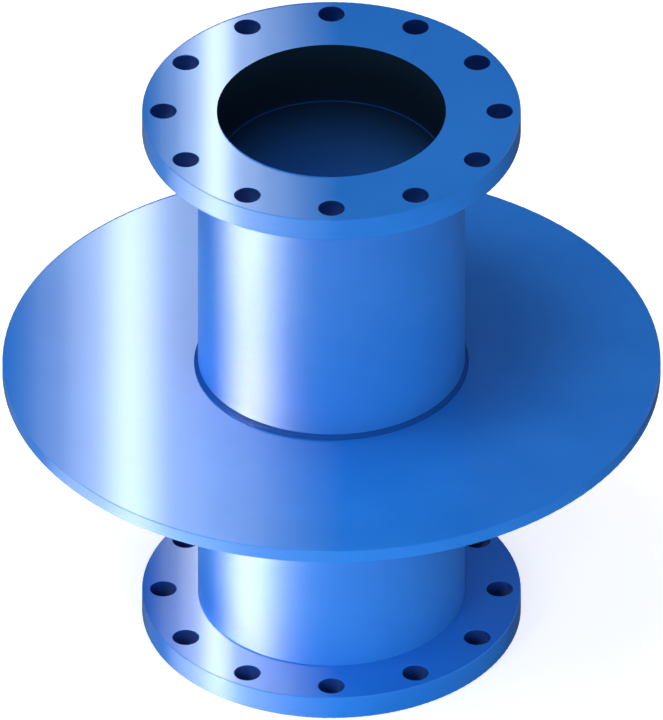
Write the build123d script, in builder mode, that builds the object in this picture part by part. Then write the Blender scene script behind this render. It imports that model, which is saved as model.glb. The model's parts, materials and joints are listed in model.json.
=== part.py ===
"""Double-flanged pipe with a puddle plate, which carries a pressure main through a concrete wall.

A thick-walled barrel stands upright with a drilled flange on each end. A wide round plate is welded
round its middle: cast into the wall, it takes the thrust and stops water creeping along the barrel.
The origin is the centre of the lower flange's outer face, and +Z runs up the bore. Sizes are in mm.
"""

from build123d import *
import os

# Barrel
overall_length = 644.0
bore_diameter = 238.0
barrel_wall = 22.0
mouth_relief = 2.0
mouth_depth = 72.0

# End flanges, drilled as a standard DN 250, 16 bar flange
flange_ring_width = 59.0
flange_thickness = 26.5
shoulder_thickness = 6.5
bolt_hole_count = 12
bolt_hole_diameter = 28.0
bolt_edge_distance = 22.5

# Puddle plate, and the weld beads that hold it
plate_ring_width = 206.5
plate_thickness = 15.0
plate_height = 313.0
plate_slip_clearance = 0.5
weld_leg_on_plate = 4.0
weld_leg_on_barrel = 5.0
weld_crown = 0.6

# Sharp edges taken off before painting
flange_rim_radius = 1.0
plate_rim_radius = 0.8
hole_chamfer = 0.4

# What follows from the sizes above
bore_radius = bore_diameter / 2
mouth_radius = bore_radius + mouth_relief
barrel_radius = bore_radius + barrel_wall
flange_radius = barrel_radius + flange_ring_width
bolt_circle_radius = flange_radius - bolt_edge_distance
plate_radius = barrel_radius + plate_ring_width
plate_top = plate_height + plate_thickness / 2
plate_bottom = plate_height - plate_thickness / 2

lower_face = Plane.XY
upper_face = Plane.XY.offset(overall_length)
lower_seat = lower_face.offset(shoulder_thickness)
upper_seat = upper_face.offset(-shoulder_thickness)


def make_barrel():
    """Pipe from one flange's shoulder to the other's, bored out a little wider at both mouths."""
    with BuildPart() as barrel:
        with BuildSketch(lower_seat):
            Circle(barrel_radius)
            Circle(bore_radius, mode=Mode.SUBTRACT)
        extrude(amount=overall_length - 2 * shoulder_thickness)
        with BuildSketch(lower_seat, -upper_seat):
            Circle(mouth_radius)
        extrude(amount=mouth_depth - shoulder_thickness, mode=Mode.SUBTRACT)
    return barrel


def make_flange(outer_face):
    """Drilled ring that takes the barrel's end in its back, against a shoulder at its outer face.

    The +Z of outer_face points away from the pipe.
    """
    back = outer_face.offset(-flange_thickness)
    with BuildPart() as flange:
        with BuildSketch(back):
            Circle(flange_radius)
            Circle(mouth_radius, mode=Mode.SUBTRACT)
            with PolarLocations(bolt_circle_radius, bolt_hole_count):
                Circle(bolt_hole_diameter / 2, mode=Mode.SUBTRACT)
        extrude(amount=flange_thickness)
        with BuildSketch(back):
            Circle(barrel_radius)
        extrude(amount=flange_thickness - shoulder_thickness, mode=Mode.SUBTRACT)
        edges_by_radius = flange.edges().filter_by(GeomType.CIRCLE).group_by(SortBy.RADIUS)
        chamfer(edges_by_radius[0], hole_chamfer)
        edges_by_radius = flange.edges().filter_by(GeomType.CIRCLE).group_by(SortBy.RADIUS)
        fillet(edges_by_radius[-1], flange_rim_radius)
    return flange


def make_puddle_plate():
    """Wide flat ring, slipped over the barrel before the flanges go on."""
    with BuildPart() as plate:
        with BuildSketch(Plane.XY.offset(plate_bottom)):
            Circle(plate_radius)
            Circle(barrel_radius + plate_slip_clearance, mode=Mode.SUBTRACT)
        extrude(amount=plate_thickness)
        edges_by_radius = plate.edges().filter_by(GeomType.CIRCLE).group_by(SortBy.RADIUS)
        fillet(edges_by_radius[-1], plate_rim_radius)
    return plate


def make_weld(plate_face, away):
    """Crowned bead in the corner of barrel and plate. Away is 1 above the plate and -1 below it."""
    root = (barrel_radius, plate_face)
    toe_on_plate = (barrel_radius + weld_leg_on_plate, plate_face)
    toe_on_barrel = (barrel_radius, plate_face + away * weld_leg_on_barrel)
    with BuildPart() as weld:
        with BuildSketch(Plane.XZ):
            with BuildLine():
                Line(root, toe_on_plate)
                SagittaArc(toe_on_plate, toe_on_barrel, -away * weld_crown)
                Line(toe_on_barrel, root)
            make_face()
        revolve(axis=Axis.Z)
    return weld


pieces = {
    "barrel": make_barrel(),
    "upper_flange": make_flange(upper_face),
    "lower_flange": make_flange(-lower_face),
    "puddle_plate": make_puddle_plate(),
    "upper_weld": make_weld(plate_top, 1),
    "lower_weld": make_weld(plate_bottom, -1),
}

os.makedirs("parts", exist_ok=True)
for name, piece in pieces.items():
    piece.part.label = name
    export_step(piece.part, f"parts/{name}.step")
    size = piece.part.bounding_box().size
    print(f"{name}: {size.X:.1f} x {size.Y:.1f} x {size.Z:.1f} mm, {piece.part.volume / 1000:.1f} cm3")
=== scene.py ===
"""Looks for the puddle flange: its blue coating, dark bore and rippled weld beads, in a plain studio.

Sizes and places are in metres. +X is the picture's right, -Y comes towards its viewer and +Z is up.
"""

import json
import math

import bmesh
import bpy
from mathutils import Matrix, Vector


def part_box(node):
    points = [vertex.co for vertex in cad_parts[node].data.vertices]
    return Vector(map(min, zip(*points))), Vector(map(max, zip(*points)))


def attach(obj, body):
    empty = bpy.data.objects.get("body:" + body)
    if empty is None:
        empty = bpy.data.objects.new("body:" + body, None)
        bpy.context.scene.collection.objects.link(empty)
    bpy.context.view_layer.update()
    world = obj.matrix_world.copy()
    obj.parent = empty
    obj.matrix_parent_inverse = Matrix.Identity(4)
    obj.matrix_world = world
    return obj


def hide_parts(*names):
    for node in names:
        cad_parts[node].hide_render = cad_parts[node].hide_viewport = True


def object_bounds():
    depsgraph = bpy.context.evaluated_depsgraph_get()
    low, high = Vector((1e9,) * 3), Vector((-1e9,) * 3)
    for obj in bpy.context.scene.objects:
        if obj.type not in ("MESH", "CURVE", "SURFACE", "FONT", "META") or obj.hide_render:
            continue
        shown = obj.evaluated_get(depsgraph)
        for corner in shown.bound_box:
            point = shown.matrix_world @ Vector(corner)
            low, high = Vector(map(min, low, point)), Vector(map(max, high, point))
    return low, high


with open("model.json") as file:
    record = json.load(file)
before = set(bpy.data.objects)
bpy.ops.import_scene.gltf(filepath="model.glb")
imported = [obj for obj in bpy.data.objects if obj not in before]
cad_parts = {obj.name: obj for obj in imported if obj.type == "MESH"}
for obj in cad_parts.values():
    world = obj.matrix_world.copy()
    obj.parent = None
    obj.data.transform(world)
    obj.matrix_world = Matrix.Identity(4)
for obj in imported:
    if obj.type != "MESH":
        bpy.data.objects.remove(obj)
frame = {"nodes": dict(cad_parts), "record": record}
cad_low, cad_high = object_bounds()

# Camera: the drawing is isometric, so it looks down at atan(1 / sqrt(2)) with no perspective
CAMERA_ELEVATION = math.atan(1 / math.sqrt(2))
CAMERA_DISTANCE = 3.0
CAMERA_RANGE = 20.0
PHOTO_HEIGHT_PX = 720
FLANGE_WIDTH_PX = 379
FLANGE_WIDTH = 0.400
METRES_PER_PX = FLANGE_WIDTH / FLANGE_WIDTH_PX

# Places read from the frame
AXIS_MIDDLE = (cad_low + cad_high) / 2
PLATE_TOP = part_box("puddle_plate")[1]
BARREL_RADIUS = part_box("barrel")[1].x
mounts = {mount["name"]: mount["dims"] for mount in frame["record"]["mounts"]}
MOUTH_RADIUS = mounts["upper_mouth"]["r_mm"] / 1000
MOUTH_DEPTH = mounts["upper_mouth"]["length_mm"] / 1000
BOLT_CIRCLE_RADIUS = mounts["upper_bolts"]["pcd_mm"] / 2 / 1000
BOLT_HOLE_RADIUS = mounts["upper_bolts"]["hole_r_mm"] / 1000
BOLT_HOLE_COUNT = mounts["upper_bolts"]["count"]

# A facet is part of a wall where its normal rises less than this, and of a hole within this slack
WALL_RISE = 0.5
HOLE_SLACK = 0.0006

# Material slots of a CAD node: its outside, its bore's wall with its painted shade, and its bolt holes and
# ledges in painted shade
OUTSIDE, BORE_WALL, SHADED = range(3)

# Coating: orange peel, a fine grain in its roughness, and a slow drift between two tones
PEEL_SCALE = 210.0
PEEL_DETAIL = 1.0
PEEL_HEIGHT = 0.000015
GRAIN_SCALE = 260.0
GRAIN_DETAIL = 2.0
GRAIN_RANGE = (0.3, 0.7)
GRAIN_ROUGHNESS = 0.04
TONE_SCALE = 9.0
TONE_DETAIL = 3.0
DARK_TONE_AT = 0.35
LIGHT_TONE_AT = 0.65

# Depths in from the nearer end of the bore, between which its painted shade turns from near black to blue
BLACK_DEPTH = 0.8 * MOUTH_DEPTH
BLUE_DEPTH = 0.19

# Weld beads: bow is how far round a ripple's middle lies from its ends, in radians of one ripple
WELD_CROWN = 0.0006
RIPPLE_PITCH = 0.004
RIPPLE_COUNT = round(2 * math.pi * BARREL_RADIUS / RIPPLE_PITCH)
RIPPLE_DEPTH = 0.00025
RIPPLE_BOW = 2.4
STEPS_PER_RIPPLE = 8
CROWN_POINTS = 9

# What makes the ripples uneven, as waves: size in radians, number round the barrel, and start
RIPPLE_WANDER = ((0.8, 7, 0), (0.5, 13, 1))

# Slightly green beside pure white, which would turn the blue coating's highlights violet
WHITE = (1.0, 1.0, 1.0, 1.0)
STUDIO_WHITE = (0.97, 1.0, 0.88, 1.0)

# World: a mirror would show a level of 1 as white, and the coating mirrors a small share of it
FILL = 0.45
HORIZON = 0.5
CEILING = 0.04
GROUND_AT_LEFT = 0.2
GROUND_AT_RIGHT = 0.04
GROUND_BAND = 11.5

# Where the world's levels change, as a direction's share of straight up, or of straight right
SKY_FADE = (0.08, 0.35)
SKYLINE = (-0.25, 0.0)
BAND_FADE = (-0.48, -0.3)
GROUND_FADE = (-0.9, 0.6)

# The highlight on the rims, by where it comes from: degrees round from the front, the left at -90
BAND_STOPS = ((-140, 0), (-117, 0.06), (-88, 0.48), (-73, 1), (-58, 0.52), (-32, 0.22), (5, 0))

# The highlight on flat faces, across each one from its left edge, at 0, to its right, at 1
CARD_STOPS = ((0.0, 0), (0.05, 0.11), (0.1, 0.28), (0.15, 0.58), (0.195, 1), (0.25, 0.48),
              (0.31, 0.29), (0.4, 0.13), (0.52, 0))
CARD_LIFT = 0.002
CARD_LEVEL = 10.8
CARD_SPREAD = 150

# The strip light's direction in degrees round from the front, and where it is aimed
STRIP_AZIMUTH = -64
STRIP_DISTANCE = 2
STRIP_AIM_HEIGHT = 0.33
STRIP_ASIDE = 0.062

# Floor
FLOOR_SIZE = 12
FLOOR_GAP = 0.0005
FLOOR_COLOUR = (0.8, 0.8, 0.8, 1)
FLOOR_LIFT = 0.62


def srgb(red, green, blue):
    """Linear colour of an sRGB colour given as 0 to 255."""
    def linear(level):
        level /= 255
        return level / 12.92 if level <= 0.04045 else ((level + 0.055) / 1.055) ** 2.4
    return (linear(red), linear(green), linear(blue), 1.0)


def node(tree, kind, **settings):
    """New shader node, with plain values set on its properties or its inputs."""
    made = tree.nodes.new(kind)
    for name, value in settings.items():
        if hasattr(made, name):
            setattr(made, name, value)
        else:
            made.inputs[name.replace("_", " ")].default_value = value
    return made


def combine(tree, operation, first, second=0):
    """Result of a math node, where each operand is a number or another node's output."""
    made = node(tree, "ShaderNodeMath", operation=operation)
    for slot, value in enumerate((first, second)):
        if isinstance(value, (int, float)):
            made.inputs[slot].default_value = value
        else:
            tree.links.new(value, made.inputs[slot])
    return made.outputs[0]


def mapped(tree, value, from_range, to_range, curve="LINEAR"):
    """Value taken from one range to another, and held at its ends."""
    made = node(tree, "ShaderNodeMapRange", interpolation_type=curve)
    made.inputs["From Min"].default_value, made.inputs["From Max"].default_value = from_range
    made.inputs["To Min"].default_value, made.inputs["To Max"].default_value = to_range
    tree.links.new(value, made.inputs["Value"])
    return made.outputs["Result"]


def coloured(tree, amount, stops, curve="LINEAR"):
    """Colour that follows the stops, each a place from 0 to 1 and its colour."""
    made = node(tree, "ShaderNodeValToRGB")
    made.color_ramp.interpolation = curve
    elements = made.color_ramp.elements
    while len(elements) < len(stops):
        # Added halfway for now, and moved to its own place below
        elements.new(0.5)
    for element, (place, colour) in zip(elements, stops):
        element.position = place
        element.color = colour
    tree.links.new(amount, made.inputs["Fac"])
    return made.outputs["Color"]


def profile(tree, value, stops):
    """Level that follows the stops, each a place on the value's own scale and its level from 0 to 1."""
    first, last = stops[0][0], stops[-1][0]
    greys = [((place - first) / (last - first), (level, level, level, 1)) for place, level in stops]
    return coloured(tree, mapped(tree, value, (first, last), (0, 1)), greys, "CARDINAL")


def mixed(tree, amount, first, second):
    """Shader that goes from the first to the second as the amount goes from 0 to 1."""
    made = node(tree, "ShaderNodeMixShader")
    for value, socket in zip((amount, first, second), made.inputs):
        tree.links.new(value, socket)
    return made.outputs[0]


def put_out(tree, kind, shader):
    """Take the finished shader to the tree's output, whose kind is Material, World or Light."""
    output = node(tree, f"ShaderNodeOutput{kind}")
    tree.links.new(shader, output.inputs["Surface"])


def blank_material(name):
    material = bpy.data.materials.new(name)
    material.use_nodes = True
    material.node_tree.nodes.clear()
    return material, material.node_tree


def noise(tree, place, scale, detail):
    made = node(tree, "ShaderNodeTexNoise", Scale=scale, Detail=detail)
    tree.links.new(place, made.inputs["Vector"])
    return made.outputs["Fac"]


def coat(tree, place, colour, roughness, gloss, coat_weight=0.0, coat_roughness=0.3):
    """Sprayed epoxy of the given colour, with fine orange peel and any clear gloss over its body."""
    link = tree.links.new
    paint = node(tree, "ShaderNodeBsdfPrincipled")
    paint.inputs["Specular IOR Level"].default_value = gloss
    paint.inputs["Coat Weight"].default_value = coat_weight
    paint.inputs["Coat Roughness"].default_value = coat_roughness
    grain = noise(tree, place, GRAIN_SCALE, GRAIN_DETAIL)
    rough_range = (roughness - GRAIN_ROUGHNESS, roughness + GRAIN_ROUGHNESS)
    bump = node(tree, "ShaderNodeBump", Strength=1.0, Distance=PEEL_HEIGHT)
    link(noise(tree, place, PEEL_SCALE, PEEL_DETAIL), bump.inputs["Height"])
    link(colour, paint.inputs["Base Color"])
    link(mapped(tree, grain, GRAIN_RANGE, rough_range), paint.inputs["Roughness"])
    link(bump.outputs["Normal"], paint.inputs["Normal"])
    link(bump.outputs["Normal"], paint.inputs["Coat Normal"])
    put_out(tree, "Material", paint.outputs["BSDF"])


def coating_material(name, dark, light, **surface):
    """Coating whose colour drifts a little between two tones over a hand's breadth."""
    material, tree = blank_material(name)
    place = node(tree, "ShaderNodeTexCoord").outputs["Object"]
    tone = noise(tree, place, TONE_SCALE, TONE_DETAIL)
    coat(tree, place, coloured(tree, tone, ((DARK_TONE_AT, dark), (LIGHT_TONE_AT, light))), **surface)
    return material


def bore_material(name, mouth, deep, **surface):
    """Painted shade in the bore: near black in both mouths, and from just short of the ledges on ever
    bluer.
    """
    material, tree = blank_material(name)
    place = node(tree, "ShaderNodeTexCoord").outputs["Object"]
    parts = node(tree, "ShaderNodeSeparateXYZ")
    tree.links.new(place, parts.inputs[0])
    from_middle = combine(tree, "ABSOLUTE", combine(tree, "SUBTRACT", parts.outputs["Z"], AXIS_MIDDLE.z))
    depth = combine(tree, "SUBTRACT", AXIS_MIDDLE.z, from_middle)
    amount = mapped(tree, depth, (BLACK_DEPTH, BLUE_DEPTH), (0, 1), "SMOOTHSTEP")
    coat(tree, place, coloured(tree, amount, ((0, mouth), (1, deep))), **surface)
    return material


def in_bore(centre):
    return math.hypot(centre.x, centre.y) < MOUTH_RADIUS + HOLE_SLACK


def in_bolt_hole(centre):
    """True within a bolt hole's radius of that hole's axis."""
    step = 2 * math.pi / BOLT_HOLE_COUNT
    angle = round(math.atan2(centre.y, centre.x) / step) * step
    across = centre.x - BOLT_CIRCLE_RADIUS * math.cos(angle)
    along = centre.y - BOLT_CIRCLE_RADIUS * math.sin(angle)
    return math.hypot(across, along) < BOLT_HOLE_RADIUS + HOLE_SLACK


def dress(piece, *materials):
    """Give a CAD node its materials, in the order of the slots, and each facet its slot."""
    piece.data.materials.clear()
    for material in materials:
        piece.data.materials.append(material)
    for face in piece.data.polygons:
        is_wall = abs(face.normal.z) < WALL_RISE
        if in_bore(face.center):
            face.material_index = BORE_WALL if is_wall else SHADED
        elif is_wall and in_bolt_hole(face.center):
            face.material_index = SHADED
        else:
            face.material_index = OUTSIDE


def bead_section(angle, leg_on_plate, leg_on_barrel):
    """Corner, then crown, of the bead at one angle, as (distance from the barrel, height off the plate)."""
    wander = sum(size * math.sin(waves * angle + start) for size, waves, start in RIPPLE_WANDER)
    chord = math.hypot(leg_on_plate, leg_on_barrel)
    section = [(0.0, 0.0)]
    for step in range(CROWN_POINTS):
        along = step / (CROWN_POINTS - 1)
        hump = 4 * along * (1 - along)
        trough = (1 - math.cos(RIPPLE_COUNT * angle + wander + RIPPLE_BOW * hump)) / 2
        swell = hump * (WELD_CROWN - RIPPLE_DEPTH * trough)
        out = leg_on_plate * (1 - along) + swell * leg_on_barrel / chord
        up = leg_on_barrel * along + swell * leg_on_plate / chord
        section.append((out, up))
    return section


def make_bead(name, plate_face, away, node_name, material):
    """Rippled weld bead in the corner of barrel and plate. Away is 1 above the plate and -1 below it."""
    low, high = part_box(node_name)
    leg_on_plate = high.x - BARREL_RADIUS
    leg_on_barrel = high.z - low.z
    count = STEPS_PER_RIPPLE * RIPPLE_COUNT
    mesh = bmesh.new()
    rings = []
    for step in range(count):
        angle = 2 * math.pi * step / count
        ring = []
        for out, up in bead_section(angle, leg_on_plate, leg_on_barrel):
            reach = BARREL_RADIUS + out
            place = (reach * math.cos(angle), reach * math.sin(angle), plate_face + away * up)
            ring.append(mesh.verts.new(place))
        rings.append(ring)
    for ring, following in zip(rings, rings[1:] + rings[:1]):
        for index in range(len(ring)):
            onward = (index + 1) % len(ring)
            face = mesh.faces.new((ring[index], following[index], following[onward], ring[onward]))
            face.smooth = 0 < index < len(ring) - 1
    bmesh.ops.recalc_face_normals(mesh, faces=mesh.faces)
    for edge in mesh.edges:
        edge.smooth = all(face.smooth for face in edge.link_faces)
    data = bpy.data.meshes.new(name)
    mesh.to_mesh(data)
    mesh.free()
    data.materials.append(material)
    bead = bpy.data.objects.new(name, data)
    bpy.context.scene.collection.objects.link(bead)
    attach(bead, "root")
    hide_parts(node_name)


def make_camera():
    camera = bpy.data.objects.new("camera", bpy.data.cameras.new("camera"))
    bpy.context.scene.collection.objects.link(camera)
    camera.data.type = "ORTHO"
    camera.data.ortho_scale = PHOTO_HEIGHT_PX * METRES_PER_PX
    camera.data.clip_end = CAMERA_RANGE
    back = Vector((0, -math.cos(CAMERA_ELEVATION), math.sin(CAMERA_ELEVATION)))
    camera.location = AXIS_MIDDLE + CAMERA_DISTANCE * back
    camera.rotation_euler = (-back).to_track_quat("-Z", "Y").to_euler()
    bpy.context.scene.camera = camera


def studio_level(tree):
    """What the gloss mirrors: a pale horizon, a dim ceiling, and a dim ground with the rims' highlight."""
    direction = node(tree, "ShaderNodeSeparateXYZ")
    tree.links.new(node(tree, "ShaderNodeTexCoord").outputs["Generated"], direction.inputs[0])
    right, away, up = (direction.outputs[axis] for axis in "XYZ")
    sky = mapped(tree, up, SKY_FADE, (HORIZON, CEILING), "SMOOTHSTEP")
    ground = mapped(tree, right, GROUND_FADE, (GROUND_AT_LEFT, GROUND_AT_RIGHT), "SMOOTHSTEP")
    toward = combine(tree, "MULTIPLY", away, -1)
    azimuth = combine(tree, "DEGREES", combine(tree, "ARCTAN2", right, toward))
    steep = mapped(tree, up, BAND_FADE, (GROUND_BAND, 0), "SMOOTHSTEP")
    band = combine(tree, "MULTIPLY", profile(tree, azimuth, BAND_STOPS), steep)
    above = mapped(tree, up, SKYLINE, (0, 1), "SMOOTHSTEP")
    below = combine(tree, "SUBTRACT", 1, above)
    from_above = combine(tree, "MULTIPLY", sky, above)
    from_below = combine(tree, "MULTIPLY", combine(tree, "ADD", ground, band), below)
    return combine(tree, "ADD", from_above, from_below)


def make_world():
    """White to the camera, a soft even fill to the paint's body, and the studio to its gloss."""
    world = bpy.data.worlds.new("studio")
    bpy.context.scene.world = world
    world.use_nodes = True
    tree = world.node_tree
    tree.nodes.clear()
    rays = node(tree, "ShaderNodeLightPath").outputs
    mirrored = combine(tree, "MAXIMUM", rays["Is Glossy Ray"], rays["Is Transmission Ray"])
    fill = node(tree, "ShaderNodeBackground", Color=WHITE, Strength=FILL)
    gloss = node(tree, "ShaderNodeBackground", Color=STUDIO_WHITE)
    tree.links.new(studio_level(tree), gloss.inputs["Strength"])
    white = node(tree, "ShaderNodeBackground", Color=WHITE, Strength=1.0)
    unseen = mixed(tree, mirrored, fill.outputs[0], gloss.outputs[0])
    put_out(tree, "World", mixed(tree, rays["Is Camera Ray"], unseen, white.outputs[0]))


def make_floor():
    """Wide floor, lifted to white for the camera, where it keeps a shadow, and clear from below."""
    bpy.ops.mesh.primitive_plane_add(size=FLOOR_SIZE, location=(0, 0, cad_low.z - FLOOR_GAP))
    floor = bpy.context.object
    floor.name = "floor"
    floor.visible_glossy = False
    material, tree = blank_material("floor")
    link = tree.links.new
    seen = node(tree, "ShaderNodeLightPath").outputs["Is Camera Ray"]
    matt = node(tree, "ShaderNodeBsdfDiffuse", Color=FLOOR_COLOUR)
    lift = node(tree, "ShaderNodeEmission", Color=WHITE)
    link(combine(tree, "MULTIPLY", seen, FLOOR_LIFT), lift.inputs["Strength"])
    lifted = node(tree, "ShaderNodeAddShader")
    link(matt.outputs[0], lifted.inputs[0])
    link(lift.outputs[0], lifted.inputs[1])
    backfacing = node(tree, "ShaderNodeNewGeometry").outputs["Backfacing"]
    seen_from_below = combine(tree, "MULTIPLY", seen, backfacing)
    clear = node(tree, "ShaderNodeBsdfTransparent").outputs[0]
    put_out(tree, "Material", mixed(tree, seen_from_below, lifted.outputs[0], clear))
    floor.data.materials.append(material)


def area_lamp(name, place, target, width, height, level, spread=180, **seen_by):
    """Rectangular softbox that the camera doesn't see, with its beam's spread in degrees.

    Its level is what a mirror would show of it if the beam weren't narrowed.
    """
    lamp = bpy.data.lights.new(name, "AREA")
    lamp.shape = "RECTANGLE"
    lamp.size = width
    lamp.size_y = height
    lamp.energy = level * math.pi * width * height
    lamp.spread = math.radians(spread)
    holder = bpy.data.objects.new(name, lamp)
    holder.location = place
    holder.rotation_euler = (Vector(target) - Vector(place)).to_track_quat("-Z", "Y").to_euler()
    holder.visible_camera = False
    for ray, seen in seen_by.items():
        setattr(holder, f"visible_{ray}", seen)
    bpy.context.scene.collection.objects.link(holder)
    return lamp


def make_card(name, top, inner_radius):
    """Light card close over a flat ring, which fades across the ring and is dark beyond both its edges."""
    width = 2 * top.x * CARD_STOPS[-1][0]
    place = Vector((width / 2 - top.x, 0, top.z + CARD_LIFT))
    below = place - Vector((0, 0, 1))
    card = area_lamp(name, place, below, width, 2 * top.x, CARD_LEVEL, CARD_SPREAD, diffuse=False)
    card.use_nodes = True
    tree = card.node_tree
    tree.nodes.clear()
    spot = node(tree, "ShaderNodeSeparateXYZ")
    tree.links.new(node(tree, "ShaderNodeNewGeometry").outputs["Position"], spot.inputs[0])
    level = profile(tree, mapped(tree, spot.outputs["X"], (-top.x, top.x), (0, 1)), CARD_STOPS)
    squares = [combine(tree, "MULTIPLY", spot.outputs[axis], spot.outputs[axis]) for axis in "XY"]
    from_axis = combine(tree, "SQRT", combine(tree, "ADD", *squares))
    past_inner = combine(tree, "GREATER_THAN", from_axis, inner_radius)
    within_outer = combine(tree, "LESS_THAN", from_axis, top.x)
    over_ring = combine(tree, "MULTIPLY", past_inner, within_outer)
    emission = node(tree, "ShaderNodeEmission", Color=STUDIO_WHITE)
    tree.links.new(combine(tree, "MULTIPLY", level, over_ring), emission.inputs["Strength"])
    put_out(tree, "Light", emission.outputs[0])


def make_strip():
    """Strip light with a nearly parallel beam, aimed a little in front of the barrel's axis."""
    azimuth = math.radians(STRIP_AZIMUTH)
    toward = Vector((math.sin(azimuth), -math.cos(azimuth), 0))
    aim = Vector((0, 0, STRIP_AIM_HEIGHT)) + STRIP_ASIDE * Vector((-toward.y, toward.x, 0))
    strip = area_lamp("side_strip", aim + STRIP_DISTANCE * toward, aim, width=0.07, height=0.66,
                      level=20.0, spread=2.7, diffuse=False)
    strip.color = STUDIO_WHITE[:3]


def make_lamps():
    """Softboxes for the paint's body, and light cards and a strip for the highlights in its gloss."""
    area_lamp("key", place=(-0.87, -0.5, 3.1), target=(-0.33, -0.1, 0.4), width=1.9, height=1.9,
              level=0.39, spread=37, glossy=False)
    area_lamp("front_fill", place=(0.15, -1.7, 0.5), target=(0, 0, 0.3), width=0.9, height=0.8,
              level=5.2, glossy=False)
    area_lamp("left_fill", place=(-1.7, -0.4, 0.5), target=(0, 0, 0.35), width=0.8, height=0.8,
              level=4.2, glossy=False)
    area_lamp("low_fill", place=(-0.45, -0.8, 0.45), target=(-0.08, -0.17, 0.03), width=0.3, height=0.3,
              level=0.5, spread=34, glossy=False)
    make_card("upper_card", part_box("upper_flange")[1], MOUTH_RADIUS)
    make_card("plate_card", PLATE_TOP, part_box("upper_weld")[1].x)
    make_card("lower_card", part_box("lower_flange")[1], BARREL_RADIUS)
    make_strip()


blue = {"dark": srgb(30, 116, 212), "light": srgb(36, 122, 218)}
flat_coating = coating_material("blue_coating", **blue, roughness=0.42, gloss=0.08,
                                coat_weight=1.0, coat_roughness=0.13)
barrel_coating = coating_material("barrel_coating", **blue, roughness=0.53, gloss=0.5,
                                  coat_weight=0.15, coat_roughness=0.3)
# Painted shade: the beads' navy, darker than the rest of the coating, stands in for the line of shade where
# barrel meets plate
weld_coating_painted_shade = coating_material("weld_coating_painted_shade", dark=srgb(16, 70, 150), light=srgb(20, 76, 160),
                                roughness=0.6, gloss=0.03)
# Painted shade in the bore: near black at the mouths, blue deeper in
bore_painted_shade = bore_material("bore_painted_shade", mouth=srgb(17, 38, 56), deep=srgb(64, 146, 240),
                            roughness=0.6, gloss=0.04)
# Painted shade: dark navy in the bolt holes and on the bore's ledges, where the blue coating lies in shade
hole_painted_shade = coating_material("hole_painted_shade", dark=srgb(13, 50, 120), light=srgb(16, 56, 130),
                                roughness=0.6, gloss=0.1)

make_camera()
make_world()
make_floor()
make_lamps()
finishes = {"barrel": barrel_coating, "upper_weld": weld_coating_painted_shade, "lower_weld": weld_coating_painted_shade}
for name, piece in frame["nodes"].items():
    dress(piece, finishes.get(name, flat_coating), bore_painted_shade, hole_painted_shade)
make_bead("upper_bead", PLATE_TOP.z, 1, "upper_weld", weld_coating_painted_shade)
make_bead("lower_bead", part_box("puddle_plate")[0].z, -1, "lower_weld", weld_coating_painted_shade)

bpy.context.scene.view_settings.view_transform = "Standard"
